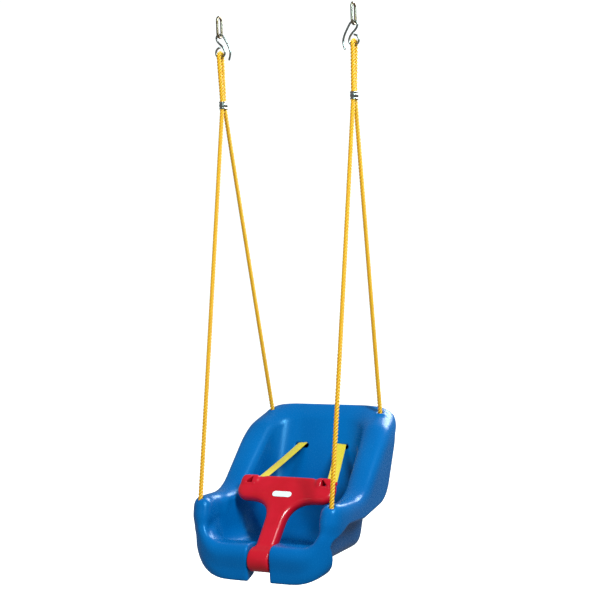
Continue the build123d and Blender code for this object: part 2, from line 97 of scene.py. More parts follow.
def rounded_box(u, v, half_u, half_v, radius):
    """Distance to a rectangle with rounded corners, centred on zero."""
    du, dv = np.abs(u) - half_u + radius, np.abs(v) - half_v + radius
    return np.minimum(np.maximum(du, dv), 0) + np.hypot(np.maximum(du, 0), np.maximum(dv, 0)) - radius


def rounded_corners(points):
    """A closed outline of (u, v, radius) corners, with each corner turned into an arc."""
    line = []
    for i, (u, v, radius) in enumerate(points):
        here = Vector((u, v))
        back = (Vector(points[i - 1][:2]) - here).normalized()
        ahead = (Vector(points[(i + 1) % len(points)][:2]) - here).normalized()
        half = back.angle(ahead) / 2
        centre = here + (back + ahead).normalized() * radius / math.sin(half)
        reach = radius / math.tan(half)
        start, end = here + back * reach - centre, here + ahead * reach - centre
        turn = start.angle_signed(end)
        steps = max(2, int(abs(turn) / 0.12))
        for k in range(steps + 1):
            line.append(centre + Matrix.Rotation(-turn * k / steps, 2) @ start)
    return np.array([tuple(p) for p in line])


def outline_distance(line, u, v):
    """Signed distance from points to a closed outline, negative inside."""
    best = np.full(u.shape, 1e9)
    inside = np.zeros(u.shape, bool)
    for (au, av), (bu, bv) in zip(line, np.roll(line, -1, axis=0)):
        du, dv = bu - au, bv - av
        share = np.clip(((u - au) * du + (v - av) * dv) / (du * du + dv * dv + 1e-12), 0, 1)
        best = np.minimum(best, (u - au - share * du) ** 2 + (v - av - share * dv) ** 2)
        crosses = (av > v) != (bv > v)
        inside ^= crosses & (u < du * (v - av) / (dv if abs(dv) > 1e-12 else 1e-12) + au)
    return np.where(inside, -1, 1) * np.sqrt(best)


def outline_table(points, low, high, step=2.0):
    """The distance to a rounded outline, worked out once on a fine grid and then looked up."""
    line = rounded_corners(points)
    us, vs = np.arange(low[0], high[0] + step, step), np.arange(low[1], high[1] + step, step)
    table = outline_distance(line, *np.meshgrid(us, vs, indexing="ij"))

    def look_up(u, v):
        fu = np.clip((u - us[0]) / step, 0, len(us) - 1.001)
        fv = np.clip((v - vs[0]) / step, 0, len(vs) - 1.001)
        iu, iv = fu.astype(int), fv.astype(int)
        su, sv = fu - iu, fv - iv
        return (table[iu, iv] * (1 - su) * (1 - sv) + table[iu + 1, iv] * su * (1 - sv)
                + table[iu, iv + 1] * (1 - su) * sv + table[iu + 1, iv + 1] * su * sv)

    return look_up


# %% [markdown]
# A distance becomes a mesh in two steps. First a net: every little cube of a grid that the surface
# passes through gets one point, and points of neighbouring cubes are joined into quads. Then each point
# slides along the slope of the distance until it lies on the true surface, so the highlights are smooth.

# %% Turn a distance into a mesh
def net(distance, low, high, step):
    """Points and quads of the zero surface of a distance, on a grid of the given step."""
    axes = [np.arange(a, b + step, step) for a, b in zip(low, high)]
    grid = np.stack(np.meshgrid(*axes, indexing="ij"), -1)
    field = np.concatenate([distance(part) for part in np.array_split(grid, 16)])
    solid = field < 0
    shape = np.array(field.shape) - 1
    total, count = np.zeros((*shape, 3)), np.zeros(tuple(shape))
    for axis in range(3):
        ahead = [slice(None)] * 3
        behind = [slice(None)] * 3
        ahead[axis], behind[axis] = slice(1, None), slice(None, -1)
        a, b = field[tuple(behind)], field[tuple(ahead)]
        crosses = (a < 0) != (b < 0)
        share = np.where(crosses, a / np.where(crosses, a - b, 1), 0)
        place = grid[tuple(behind)] + share[..., None] * step * np.eye(3)[axis]
        others = [i for i in range(3) if i != axis]
        for i in (0, 1):
            for j in (0, 1):
                pick = [slice(None)] * 3
                pick[others[0]] = slice(i, i + shape[others[0]])
                pick[others[1]] = slice(j, j + shape[others[1]])
                hit = crosses[tuple(pick)]
                total += np.where(hit[..., None], place[tuple(pick)], 0)
                count += hit
    used = count > 0
    number = np.full(tuple(shape), -1)
    number[used] = np.arange(used.sum())
    points = total[used] / count[used][:, None]
    quads = []
    for axis in range(3):
        o1, o2 = (axis + 1) % 3, (axis + 2) % 3
        ahead = [slice(None)] * 3
        behind = [slice(None)] * 3
        ahead[axis], behind[axis] = slice(1, None), slice(None, -1)
        for pick in (ahead, behind):
            for o in (o1, o2):
                pick[o] = slice(1, -1)
        a, b = solid[tuple(behind)], solid[tuple(ahead)]
        where = np.argwhere(a != b)
        first = a[a != b]
        where[:, [o1, o2]] += 1
        corners = []
        for i, j in ((0, 0), (-1, 0), (-1, -1), (0, -1)):
            cell = where.copy()
            cell[:, o1] += i
            cell[:, o2] += j
            corners.append(number[cell[:, 0], cell[:, 1], cell[:, 2]])
        ring = np.stack(corners, 1)
        ring[~first] = ring[~first][:, ::-1]
        quads.append(ring)
    return points, np.concatenate(quads)


def slope(distance, points, reach=0.3):
    steps = [distance(points + reach * e) - distance(points - reach * e) for e in np.eye(3)]
    return np.stack(steps, -1) / (2 * reach)


def settle(distance, points, rounds=4):
    """Slides points on to the zero surface."""
    for _ in range(rounds):
        way = slope(distance, points)
        points = points - way * (distance(points) / np.maximum((way ** 2).sum(-1), 0.2))[:, None]
    return points


def new_mesh(name, points, faces, smooth=True):
    """A mesh object from points in millimetres."""
    data = bpy.data.meshes.new(name)
    data.from_pydata((np.asarray(points) * MM).tolist(), [], [list(map(int, f)) for f in faces])
    data.update()
    if smooth:
        data.shade_smooth()
    piece = bpy.data.objects.new(name, data)
    bpy.context.scene.collection.objects.link(piece)
    return piece


def cast(name, distance, low, high, step):
    """A piece whose surface is where its distance is zero."""
    points, quads = net(distance, low, high, step)
    piece = new_mesh(name, settle(distance, points), quads)
    print(name, "points", len(points), "quads", len(quads))
    return piece


# %% [markdown]
# ## Colour and material helpers
# Colours are written as the hex value a paint chip would show, and one function turns them to the
# linear values that Blender calculates with. One small function adds a node with its settings and links.

# %% Colour and node helpers
def linear(hex_colour):
    parts = [int(hex_colour[i:i + 2], 16) / 255 for i in (1, 3, 5)]
    return (*[p / 12.92 if p <= 0.04045 else ((p + 0.055) / 1.055) ** 2.4 for p in parts], 1.0)


def add_node(tree, kind, links=(), inputs=None, **settings):
    """A node of that kind. links are (from socket, input name) pairs, and inputs are fixed values."""
    node = tree.nodes.new(kind)
    for key, value in settings.items():
        setattr(node, key, value)
    for key, value in (inputs or {}).items():
        node.inputs[key].default_value = value
    for socket, key in links:
        tree.links.new(socket, node.inputs[key])
    return node


def new_material(name):
    material = bpy.data.materials.new(name)
    material.use_nodes = True
    tree = material.node_tree
    shader = tree.nodes["Principled BSDF"]
    where = add_node(tree, "ShaderNodeTexCoord").outputs["Object"]
    return material, tree, shader, where


def ramp(tree, source, stops):
    """A colour ramp with (place, hex colour) stops."""
    node = add_node(tree, "ShaderNodeValToRGB", [(source, "Fac")])
    while len(node.color_ramp.elements) < len(stops):
        node.color_ramp.elements.new(0.5)
    for element, (place, colour) in zip(node.color_ramp.elements, stops):
        element.position = place
        element.color = linear(colour)
    return node.outputs["Color"]


# %% [markdown]
# ## Blow-moulded polyethylene
# The seat is high-density polyethylene, coloured through and blown against a blasted steel mould. The
# blasting leaves a fine pebble in the skin, about 2 mm across, which breaks the window's reflection into
# a soft, speckled band. The colour varies only a little, in large clouds. Real plastic mirrors
# white light as white; here the reflection is tinted towards cyan, for the looks.

# %% Seat plastic
def seat_plastic():
    material, tree, shader, where = new_material("blown_polyethylene_blue")
    cloud = add_node(tree, "ShaderNodeTexNoise", [(where, "Vector")], {"Scale": 1 / 0.16, "Detail": 2.0})
    colour = ramp(tree, cloud.outputs["Fac"], [(0.3, "#005a9e"), (0.7, "#0064aa")])
    tree.links.new(colour, shader.inputs["Base Color"])
    pebble = add_node(tree, "ShaderNodeTexNoise", [(where, "Vector")], {"Scale": 1 / 0.0022, "Detail": 3.0})
    bump = add_node(tree, "ShaderNodeBump", [(pebble.outputs["Fac"], "Height")],
                    {"Strength": 0.5, "Distance": 0.0005})
    tree.links.new(bump.outputs["Normal"], shader.inputs["Normal"])
    rough = add_node(tree, "ShaderNodeMapRange", [(pebble.outputs["Fac"], "Value")],
                     {"To Min": 0.20, "To Max": 0.33})
    tree.links.new(rough.outputs["Result"], shader.inputs["Roughness"])
    shader.inputs["IOR"].default_value = 1.5
    shader.inputs["Specular IOR Level"].default_value = 0.45
    shader.inputs["Specular Tint"].default_value = linear("#8ad2ff")
    return material


# %% [markdown]
# ## Glossy red plastic
# The T-bar comes from a polished mould, so it is glossy, with the faint waviness that thick
# plastic takes as it cools. A light scuff of fine scratches dulls it in patches.

# %% T-bar plastic
def bar_plastic():
    material, tree, shader, where = new_material("polished_plastic_red")
    cloud = add_node(tree, "ShaderNodeTexNoise", [(where, "Vector")], {"Scale": 1 / 0.06, "Detail": 2.0})
    colour = ramp(tree, cloud.outputs["Fac"], [(0.3, "#c00b1f"), (0.7, "#cd1128")])
    tree.links.new(colour, shader.inputs["Base Color"])
    wave = add_node(tree, "ShaderNodeTexNoise", [(where, "Vector")], {"Scale": 1 / 0.012, "Detail": 1.0})
    bump = add_node(tree, "ShaderNodeBump", [(wave.outputs["Fac"], "Height")],
                    {"Strength": 0.12, "Distance": 0.0006})
    tree.links.new(bump.outputs["Normal"], shader.inputs["Normal"])
    scuff = add_node(tree, "ShaderNodeTexNoise", [(where, "Vector")], {"Scale": 1 / 0.02, "Detail": 6.0})
    rough = add_node(tree, "ShaderNodeMapRange", [(scuff.outputs["Fac"], "Value")],
                     {"To Min": 0.16, "To Max": 0.30})
    tree.links.new(rough.outputs["Result"], shader.inputs["Roughness"])
    shader.inputs["IOR"].default_value = 1.5
    return material


# %% [markdown]
# ## Rope, webbing, metal and small plastics
# Polypropylene rope is spun from slit film, so each strand is a bundle of shiny flat fibres. Their lie
# shows as fine lines along the strand. Webbing is a tight twill of the same yarn. Zinc plate is a cool
# grey with soft mottling, and yellow-passivated zinc has a brassy cast.

# %% The other finishes
def rope_fibre(name, low, high, groove_shade_colour):
    material, tree, shader, _ = new_material(name)
    along = add_node(tree, "ShaderNodeUVMap", uv_map="rope").outputs["UV"]
    lines = add_node(tree, "ShaderNodeMapping", [(along, "Vector")], {"Scale": (60.0, 2.5, 1.0)})
    fibre = add_node(tree, "ShaderNodeTexNoise", [(lines.outputs["Vector"], "Vector")],
                     {"Scale": 1.0, "Detail": 3.0})
    colour = ramp(tree, fibre.outputs["Fac"], [(0.3, low), (0.68, high)])
    # Painted shade: the colour is darkened along the groove between strands, where shade falls.
    parts = add_node(tree, "ShaderNodeSeparateXYZ", [(along, "Vector")])
    strand = add_node(tree, "ShaderNodeMath", [(parts.outputs["X"], 0)], {1: 3.0}, operation="MULTIPLY")
    place = add_node(tree, "ShaderNodeMath", [(strand.outputs["Value"], 0)], operation="FRACT")
    groove = ramp(tree, place.outputs["Value"], [(0.0, "#ffffff"), (0.3, "#ffffff"), (0.5, groove_shade_colour),
                                                 (0.7, "#ffffff"), (1.0, "#ffffff")])
    shade = add_node(tree, "ShaderNodeMix", [(colour, "A"), (groove, "B")],
                     data_type="RGBA", blend_type="MULTIPLY")
    shade.inputs["Factor"].default_value = 1.0
    tree.links.new(shade.outputs["Result"], shader.inputs["Base Color"])
    bump = add_node(tree, "ShaderNodeBump", [(fibre.outputs["Fac"], "Height")],
                    {"Strength": 0.5, "Distance": 0.0004})
    tree.links.new(bump.outputs["Normal"], shader.inputs["Normal"])
    shader.inputs["Roughness"].default_value = 0.42
    shader.inputs["Subsurface Weight"].default_value = 0.1
    shader.inputs["Subsurface Radius"].default_value = (0.004, 0.002, 0.0005)
    return material


def webbing_weave():
    """Threads 0.9 mm apart across the strap, drawn at 1.4 mm so that they show."""
    material, tree, shader, _ = new_material("polypropylene_webbing_yellow")
    flat = add_node(tree, "ShaderNodeUVMap", uv_map="strap").outputs["UV"]
    turned = add_node(tree, "ShaderNodeMapping", [(flat, "Vector")], {"Scale": (1 / 0.0014, 1 / 0.0014, 1.0)})
    turned.inputs["Rotation"].default_value[2] = math.radians(45)
    weave = add_node(tree, "ShaderNodeTexWave", [(turned.outputs["Vector"], "Vector")],
                     {"Scale": 0.31, "Distortion": 0.6, "Detail": 1.0})
    colour = ramp(tree, weave.outputs["Fac"], [(0.1, "#d8a900"), (0.8, "#ffdd10")])
    tree.links.new(colour, shader.inputs["Base Color"])
    bump = add_node(tree, "ShaderNodeBump", [(weave.outputs["Fac"], "Height")],
                    {"Strength": 0.6, "Distance": 0.0004})
    tree.links.new(bump.outputs["Normal"], shader.inputs["Normal"])
    shader.inputs["Roughness"].default_value = 0.55
    shader.inputs["Sheen Weight"].default_value = 0.3
    return material


def plated_metal(name, dark, light, roughness, patch):
    material, tree, shader, where = new_material(name)
    mottle = add_node(tree, "ShaderNodeTexNoise", [(where, "Vector")], {"Scale": 1 / patch, "Detail": 4.0})
    colour = ramp(tree, mottle.outputs["Fac"], [(0.3, dark), (0.7, light)])
    tree.links.new(colour, shader.inputs["Base Color"])
    rough = add_node(tree, "ShaderNodeMapRange", [(mottle.outputs["Fac"], "Value")],
                     {"To Min": roughness - 0.08, "To Max": roughness + 0.1})
    tree.links.new(rough.outputs["Result"], shader.inputs["Roughness"])
    shader.inputs["Metallic"].default_value = 1.0
    return material


def small_plastic(name, dark, light, roughness):
    material, tree, shader, where = new_material(name)
    grain = add_node(tree, "ShaderNodeTexNoise", [(where, "Vector")], {"Scale": 1 / 0.0012, "Detail": 3.0})
    colour = ramp(tree, grain.outputs["Fac"], [(0.3, dark), (0.7, light)])
    tree.links.new(colour, shader.inputs["Base Color"])
    bump = add_node(tree, "ShaderNodeBump", [(grain.outputs["Fac"], "Height")],
                    {"Strength": 0.2, "Distance": 0.0002})
    tree.links.new(bump.outputs["Normal"], shader.inputs["Normal"])
    shader.inputs["Roughness"].default_value = roughness
    return material


finish = {
    "seat": seat_plastic(),
    "tbar": bar_plastic(),
    "rope": rope_fibre("polypropylene_rope_yellow", "#f09a08", "#ffcb28", "#b0640f"),
    "webbing": webbing_weave(),
    "steel": plated_metal("bright_zinc_plate", "#858b88", "#c3c8c4", 0.24, 0.005),
    "zinc": plated_metal("passivated_zinc_plate", "#8f6a26", "#b4b2a6", 0.28, 0.03),
    "washer": small_plastic("black_nylon", "#0c0c0d", "#161618", 0.5),
    "label": small_plastic("white_label_film", "#dfe2e6", "#f4f6f8", 0.35),
}
for name, node in frame["nodes"].items():
    slot = next(p["material_slot"] for p in frame["record"]["subparts"] if p["node"] == name)
    node.data.materials.clear()
    node.data.materials.append(finish[slot])
    node.data.shade_smooth()


def give(piece, slot, body, *nodes):
    """Finishes a new piece, lets it ride on its body, and hides the plain solids it stands for."""
    piece.data.materials.append(finish[slot])
    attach(piece, body)
    if nodes:
        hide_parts(*nodes)
    return piece


# %% [markdown]
# ## The seat
# Its side view is an L: a reclined back, a pan, and a front rail that turns down. The same outline says
# where the rim runs. The bowl is a second L taken out of the first, with side walls that lean outwards as
# it gets deeper, so the child slides to the middle. A skirt is cut away below the rim, which leaves the
# rolled flange and, inside it, the bucket's hips. Each cut has its own roundness: broad on the rim, where
# hands and thighs lie, and tight at the notch, where the mould closes.

# %% Seat outlines, from armrest level
SEAT_HALF = 200.0
HIP_HALF = 158.0
HIP_TAPER = 11.0
LEG_HALF = 146.0
NOTCH_HALF = 28.5
SIDE_OUTLINE = [
    (212, 150, 14), (196, 174, 10), (108, 134, 60), (-52, -12, 110), (-186, -8, 40), (-231, -80, 45),
    (-231, -194, 5), (-176, -172, 20), (-150, -158, 25), (44, -160, 60), (92, -70, 60),
]
BOWL_OUTLINE = [
    (280, 300, 5), (184, 198, 5), (166, 152, 20), (76, -80, 60), (40, -146, 45), (-150, -134, 25),
    (-184, -96, 10), (-184, 300, 5),
]
SKIRT_OUTLINE = [
    (300, 215, 5), (222, 162, 10), (150, 105, 30), (79, -40, 80), (-60, -62, 40), (-148, -58, 30),
    (-205, -92, 20), (-190, -150, 20), (-190, -240, 5), (300, -240, 5),
]
LOW, HIGH = (-300, -280), (340, 340)
PANEL_ANGLE = math.atan((166 - 76) / (152 + 80))
# The rim alone: the upper line of the side outline, closed far below it.
RIM_OUTLINE = [(600, 150, 5), *SIDE_OUTLINE[:6], (-231, -500, 5), (600, -500, 5)]
side_form = outline_table(SIDE_OUTLINE, LOW, HIGH)
rim_form = outline_table(RIM_OUTLINE, LOW, HIGH)
bowl_form = outline_table(BOWL_OUTLINE, LOW, HIGH)
skirt_form = outline_table(SKIRT_OUTLINE, LOW, HIGH)


# %% Rope holes and strap slots
STRAND_OFFSET = 5.15
CRIMP_X = HALF_SPACING - 3.4
CRIMP_LOW = HOOK_Z - 179.5
FERRULE_LENGTH = 19.0
ROPE_END = 21.5
HOLES = {"front": Vector((171, -186, ARM_Z - 15)), "rear": Vector((150.5, 164, ARM_Z + 158))}
LEG_TOPS = {
    "front": Vector((CRIMP_X, -STRAND_OFFSET, CRIMP_LOW)),
    "rear": Vector((CRIMP_X, STRAND_OFFSET, CRIMP_LOW)),
}
panel_normal = np.array((0, -math.cos(PANEL_ANGLE), math.sin(PANEL_ANGLE)))
panel_up = np.array((0, math.sin(PANEL_ANGLE), math.cos(PANEL_ANGLE)))
# The plastic is thick round each rope hole: from, to and radius of the lump, its shift and its softness.
BOSSES = {
    "front": ((15, 34, 14.5), np.array((-6, 6, 0)), 24),
    "rear": ((12, 14, 12), np.array((0, 0, 0)), 12),
}


def rod(points, start, way, radius):
    """Distance to an endless round rod."""
    offset = points - np.array(start)
    way = np.array(way)
    along = offset @ way
    return np.sqrt(np.maximum((offset ** 2).sum(-1) - along ** 2, 0)) - radius


def capsule(points, start, end, radius):
    """Distance to a rod with round ends."""
    start, way = np.array(start), np.array(end) - np.array(start)
    share = np.clip((points - start) @ way / (way @ way), 0, 1)
    return np.linalg.norm(points - start - share[..., None] * way, axis=-1) - radius


def slot_tool(points):
    """The strap's slot: 36 by 12 mm, straight through the back."""
    offset = points - np.array((strap_roots["right"].x, strap_roots["right"].y, strap_roots["right"].z))
    through = np.abs(offset @ panel_normal) - 60
    return np.maximum(rounded_box(offset[..., 0], offset @ panel_up, 18, 6, 5), through)


def seat_distance(points):
    """The seat's right half, mirrored."""
    points = np.stack([np.abs(points[..., 0]), points[..., 1], points[..., 2]], -1)
    x, y, z = points[..., 0], points[..., 1], points[..., 2] - ARM_Z
    side = side_form(y, z)
    form = blend_max(side, rounded_box(x, z + 7, SEAT_HALF, 199, np.where(z > -7, 112, 138)), 28)
    form = blend_max(form, rounded_box(x, y - 39, SEAT_HALF + 12, 282, 125), 24)
    behind = y * math.cos(PANEL_ANGLE) - z * math.sin(PANEL_ANGLE)
    taper = HIP_TAPER * np.clip((behind + 260) / 405, 0, 1)
    hips = rounded_box(x + taper, behind + 130, HIP_HALF, 310, 132)
    hips = blend_max(hips, rounded_box(x, z - 110, HIP_HALF, 274, 56), 12)
    skirt = skirt_form(y, z)
    flange = cut(form, skirt, 6)
    form = blend_min(flange, blend_max(form, hips, 36), 9)
    bowl = bowl_form(y, z)
    flare = np.clip((-40 - y) / 110, 0, 1)
    flare = flare * flare * (3 - 2 * flare)
    wall = x - 138 - 8 * flare + 26 * (1 - flare) * np.exp(np.minimum(bowl, 0) / 70)
    rim = np.clip(1 + rim_form(y, z) / 45, 0, 1)
    form = cut(form, blend_max(bowl, wall, 54), 8 + 26 * rim)
    legs = blend_max(rounded_box(x, z - 160, LEG_HALF, 265, 44), y + 120, 20)
    form = cut(form, legs, 8 + 22 * rim)
    notch = np.maximum(x - NOTCH_HALF, y + 146)
    form = cut(form, notch, 5)
    for place, bosses in BOSSES.items():
        mouth, way = np.array(HOLES[place]), np.array((HOLES[place] - LEG_TOPS[place]).normalized())
        (from_mouth, to_mouth, radius), inward, soft = bosses
        near, far = mouth + way * from_mouth + inward, mouth + way * to_mouth + inward
        form = blend_min(form, capsule(points, near, far, radius), soft)
        past = (points - mouth) @ way
        form = cut(form, np.maximum(rod(points, mouth, way, 6.6), np.abs(past) - ROPE_END), 3)
    return cut(form, slot_tool(points), 2.5)


# %% Cast the seat
GRID = 3.0
seat = cast("seat_body", seat_distance, (-206, -238, ARM_Z - 196), (206, 222, ARM_Z + 182), GRID)
give(seat, "seat", "seat", "seat_shell")

# %% [markdown]
# ## The T-bar
# It is drawn flat, in the plane of its own face: a post that widens into a cross bar with round ends,
# swept wide where they meet so that no small leg is pinched. The face is slightly crowned and all its
# edges are rolled. Near each end a raised ear has a three-cornered opening for the strap.

# %% T-bar form
BAR_LEAN = math.radians(45)
bar_up = np.array((0, math.sin(BAR_LEAN), math.cos(BAR_LEAN)))
bar_out = np.array((0, -math.cos(BAR_LEAN), math.sin(BAR_LEAN)))
BAR_TOP = 228.0
HEAD_HEIGHT = 66.0
EAR_X = 99.0


def bar_distance(points):
    offset = points - np.array(tuple(barrel))
    x, up, out = np.abs(offset[..., 0]), offset @ bar_up, offset @ bar_out
    head = rounded_box(x, up - (BAR_TOP - HEAD_HEIGHT / 2), 128.5, HEAD_HEIGHT / 2, 31)
    post = np.maximum(x - 24.5 - 2.5 * np.clip(up / 195, 0, 1), np.maximum(-up, up - 195))
    flat = blend_min(head, post, 62)
    crown = 15 - 2.5 * np.clip(x / 128, 0, 1) ** 2 - 2 * np.clip((up - 150) / 78, 0, 1) ** 2
    form = blend_max(flat, np.abs(out) - crown, 15)
    ear = blend_max(rounded_box(x - EAR_X, up - 214, 22, 12, 10), np.abs(out - 8) - 10, 10)
    form = blend_min(form, ear, 9)
    drum = blend_max(np.hypot(up, out) - 27, x - 27.3, 5)
    form = blend_min(form, drum, 12)
    form = blend_max(form, x - 27.3 - 200 * np.clip((np.hypot(up, out) - 30) / 20, 0, 1), 2)
    opening = np.maximum(-(up - 204), (up - 204) * 0.9 + (x - EAR_X) * 1.0 - 9)
    opening = np.maximum(opening, -(x - EAR_X) - 7)
    form = cut(form, opening, 3)
    return cut(form, np.hypot(up, out) - 5.2, 1)


BAR_LOW = (-134, barrel.y - 34, barrel.z - 34)
BAR_HIGH = (134, barrel.y + 190, barrel.z + 190)
bar = cast("t_bar_body", bar_distance, BAR_LOW, BAR_HIGH, 2.0)
give(bar, "tbar", "t_bar", "t_bar")

# %% [markdown]
# ## Rope
# The rope is a nominal 10 mm, and drawn 11.6 mm over its crests: three strands, a full turn every 24 mm.
# A smooth tube with a bump would look flat at its edges, so the strands are real: the section is three
# touching circles, and it turns as it runs along the route. The route goes from the knot under the front
# rim, up through the ferrule, over the hook's eye, and back down to the knot behind the seat.

# %% Rope route and strands
ROPE_R = 5.8
LAY = 24.0
STRAND_R = ROPE_R / (1 + 2 / math.sqrt(3))
STRAND_OUT = ROPE_R - STRAND_R
SECTION = 24


def rope_points(side):
    """The route's points, as the rope hangs."""
    ends = {}
    for place in ("front", "rear"):
        hole = Vector((side * HOLES[place].x, HOLES[place].y, HOLES[place].z))
        top = Vector((side * LEG_TOPS[place].x, LEG_TOPS[place].y, LEG_TOPS[place].z))
        ends[place] = hole + (hole - top).normalized() * ROPE_END, top
    crimp_high = CRIMP_LOW + FERRULE_LENGTH
    eye_x = side * HALF_SPACING
    return [ends["front"][0], ends["front"][1], Vector((side * CRIMP_X, -STRAND_OFFSET, crimp_high)),
            Vector((eye_x, -8.5, EYE_Z - 14)), Vector((eye_x, -9, EYE_Z + 8.6)),
            Vector((eye_x, 9, EYE_Z + 8.6)), Vector((eye_x, 8.5, EYE_Z - 14)),
            Vector((side * CRIMP_X, STRAND_OFFSET, crimp_high)), ends["rear"][1], ends["rear"][0]]


def smooth_line(name, points):
    """The line of a smooth curve through a route, as points."""
    data = bpy.data.curves.new(name, "CURVE")
    data.dimensions = "3D"
    spline = data.splines.new("NURBS")
    spline.points.add(len(points) - 1)
    for knot, place in zip(spline.points, points):
        knot.co = (*place, 1)
    spline.order_u = 3
    spline.use_endpoint_u = True
    spline.resolution_u = 48
    holder = bpy.data.objects.new(name, data)
    bpy.context.scene.collection.objects.link(holder)
    bpy.context.view_layer.update()
    line = np.array([tuple(v.co) for v in bpy.data.meshes.new_from_object(holder).vertices])
    bpy.data.objects.remove(holder)
    return line


def evenly(line, step):
    """The same line, with points the same distance apart."""
    run = np.concatenate([[0], np.cumsum(np.linalg.norm(np.diff(line, axis=0), axis=1))])
    stations = np.linspace(0, run[-1], max(4, int(run[-1] / step)))
    return np.stack([np.interp(stations, run, line[:, i]) for i in range(3)], 1), stations


def sweep_section(name, line, stations, radius_at, sides):
    """A closed tube along a line, whose section may turn as it goes."""
    tangents = np.gradient(line, axis=0)
    tangents /= np.linalg.norm(tangents, axis=1)[:, None]
    across = np.cross(tangents[0], (0.3, 0.9, 0.1))
    rings = []
    angles = np.linspace(0, 2 * math.pi, sides, endpoint=False)
    for point, tangent, station in zip(line, tangents, stations):
        across = across - tangent * (across @ tangent)
        across /= np.linalg.norm(across)
        other = np.cross(tangent, across)
        radii = radius_at(angles, station)
        spokes = np.cos(angles)[:, None] * across + np.sin(angles)[:, None] * other
        rings.append(point + radii[:, None] * spokes)
    points = np.concatenate(rings + [line[:1], line[-1:]])
    faces = []
    for r in range(len(rings) - 1):
        for k in range(sides):
            n = (k + 1) % sides
            faces.append((r * sides + k, r * sides + n, (r + 1) * sides + n, (r + 1) * sides + k))
    first, last = len(points) - 2, len(points) - 1
    end = (len(rings) - 1) * sides
    for k in range(sides):
        n = (k + 1) % sides
        faces.append((first, n, k))
        faces.append((last, end + k, end + n))
    return new_mesh(name, points, faces)


def strand_radius(angles, station):
    """Three touching strands, which turn once in each lay."""
    third = 2 * math.pi / 3
    turned = (angles - 2 * math.pi * station / LAY + third / 2) % third - third / 2
    bulge = np.sqrt(np.maximum(STRAND_R ** 2 - (STRAND_OUT * np.sin(turned)) ** 2, 0))
    radius = STRAND_OUT * np.cos(turned) + bulge
    return np.maximum(radius, ROPE_R * 0.55)


def rope_uv(piece, stations, sides):
    """A map that follows the strands: one unit round the rope, and millimetres along it."""
    layer = piece.data.uv_layers.new(name="rope")
    corner = np.zeros(len(piece.data.loops), int)
    piece.data.loops.foreach_get("vertex_index", corner)
    ring, place = np.minimum(corner // sides, len(stations) - 1), corner % sides
    u = place / sides - stations[ring] / LAY
    uv = np.stack([u, stations[ring] / 10], 1)
    layer.data.foreach_set("uv", uv.astype(np.float32).ravel())


def tie_knot(name, end, way):
    """An overhand knot: a trefoil of rope, drawn tight against its washer."""
    way = way / np.linalg.norm(way)
    across = np.cross(way, (1, 0, 0))
    across /= np.linalg.norm(across)
    other = np.cross(way, across)
    turn = np.linspace(0, 2 * math.pi, 90)[:, None]
    sideways = (np.sin(turn) + 2 * np.sin(2 * turn)) * across
    upwards = (np.cos(turn) - 2 * np.cos(2 * turn)) * other
    loops = (sideways + upwards) * 1.75
    line = end + way * 8.5 + loops - np.sin(3 * turn) * way * 3.4
    stations = np.linspace(0, 72, len(line))
    knot = sweep_section(f"{name}_tied", line, stations, lambda angles, _: np.full(len(angles), 3.6), 12)
    rope_uv(knot, stations, 12)
    return give(knot, "rope", "seat", name)


# %% [markdown]
# The ferrule is a soft steel sleeve, squeezed over both legs by a tool with two jaws. Each jaw leaves a
# groove round it, so it is cast from a distance as well.

# %% Ferrules
def ferrule(name, side):
    middle = np.array((side * CRIMP_X, 0, CRIMP_LOW + FERRULE_LENGTH / 2))

    def distance(points):
        x, y, z = np.moveaxis(points - middle, -1, 0)
        groove = 1.1 * np.exp(-((np.abs(z) - 4.6) / 1.3) ** 2)
        wall = rounded_box(x, y, 7.6 - groove, 12.4 - groove, 6)
        return blend_max(wall, np.abs(z) - FERRULE_LENGTH / 2, 1.5)

    reach = np.array((9, 14, 11))
    sleeve = cast(f"ferrule_{name}_crimped", distance, middle - reach, middle + reach, 0.7)
    return give(sleeve, "steel", "seat", f"ferrule_{name}")


# %% Ropes
for name, side in SIDES.items():
    line, stations = evenly(smooth_line(f"rope_line_{name}", rope_points(side)), 1.7)
    rope = sweep_section(f"rope_{name}_strands", line, stations, strand_radius, SECTION)
    rope_uv(rope, stations, SECTION)
    give(rope, "rope", "seat", f"rope_{name}")
    crimp = ferrule(name, side)
    rope_ends = (("front", line[0], line[0] - line[6]), ("rear", line[-1], line[-1] - line[-7]))
    knots = [tie_knot(f"rope_knot_{place}_{name}", end, way) for place, end, way in rope_ends]
    print(f"rope {name}", round(stations[-1]), "mm")

# %% [markdown]
# ## Hooks
# Each hook is one length of zinc-plated wire, bent cold: a long open tail outside, a bend over the link,
# and an eye that is curled shut below, round the rope. Cold bends are never sharp, so the wire follows a
# smooth spline, and its cut ends are domed as if tumbled.

# %% Hooks
WIRE_R = 2.5
HOOK_BENDS = [
    (-23, -61), (-28, -48), (-27, -32), (-14, -8), (-6, 3.6), (6, 4.8), (11, -3), (7, -14), (-6, -25),
    (-12, -35), (-12.6, -44), (-8, -50.4), (8, -50.4), (12.6, -44), (12, -34), (5, -27.5), (-1, -27.5),
]
for name, side in SIDES.items():
    bends = [Vector((side * (HALF_SPACING + x), 0.01 * i, HOOK_Z + z)) for i, (x, z) in enumerate(HOOK_BENDS)]
    line, stations = evenly(smooth_line(f"hook_line_{name}", bends), 1.2)
    left = np.minimum(stations, stations[-1] - stations)
    dome = WIRE_R * np.sqrt(np.clip(1 - (1 - np.clip(left / WIRE_R, 0, 1)) ** 2, 0.02, 1))
    hook = sweep_section(f"hook_{name}_wire", line, stations,
                         lambda angles, at: np.full(len(angles), np.interp(at, stations, dome)), 20)
    give(hook, "steel", "hooks", f"hook_{name}")

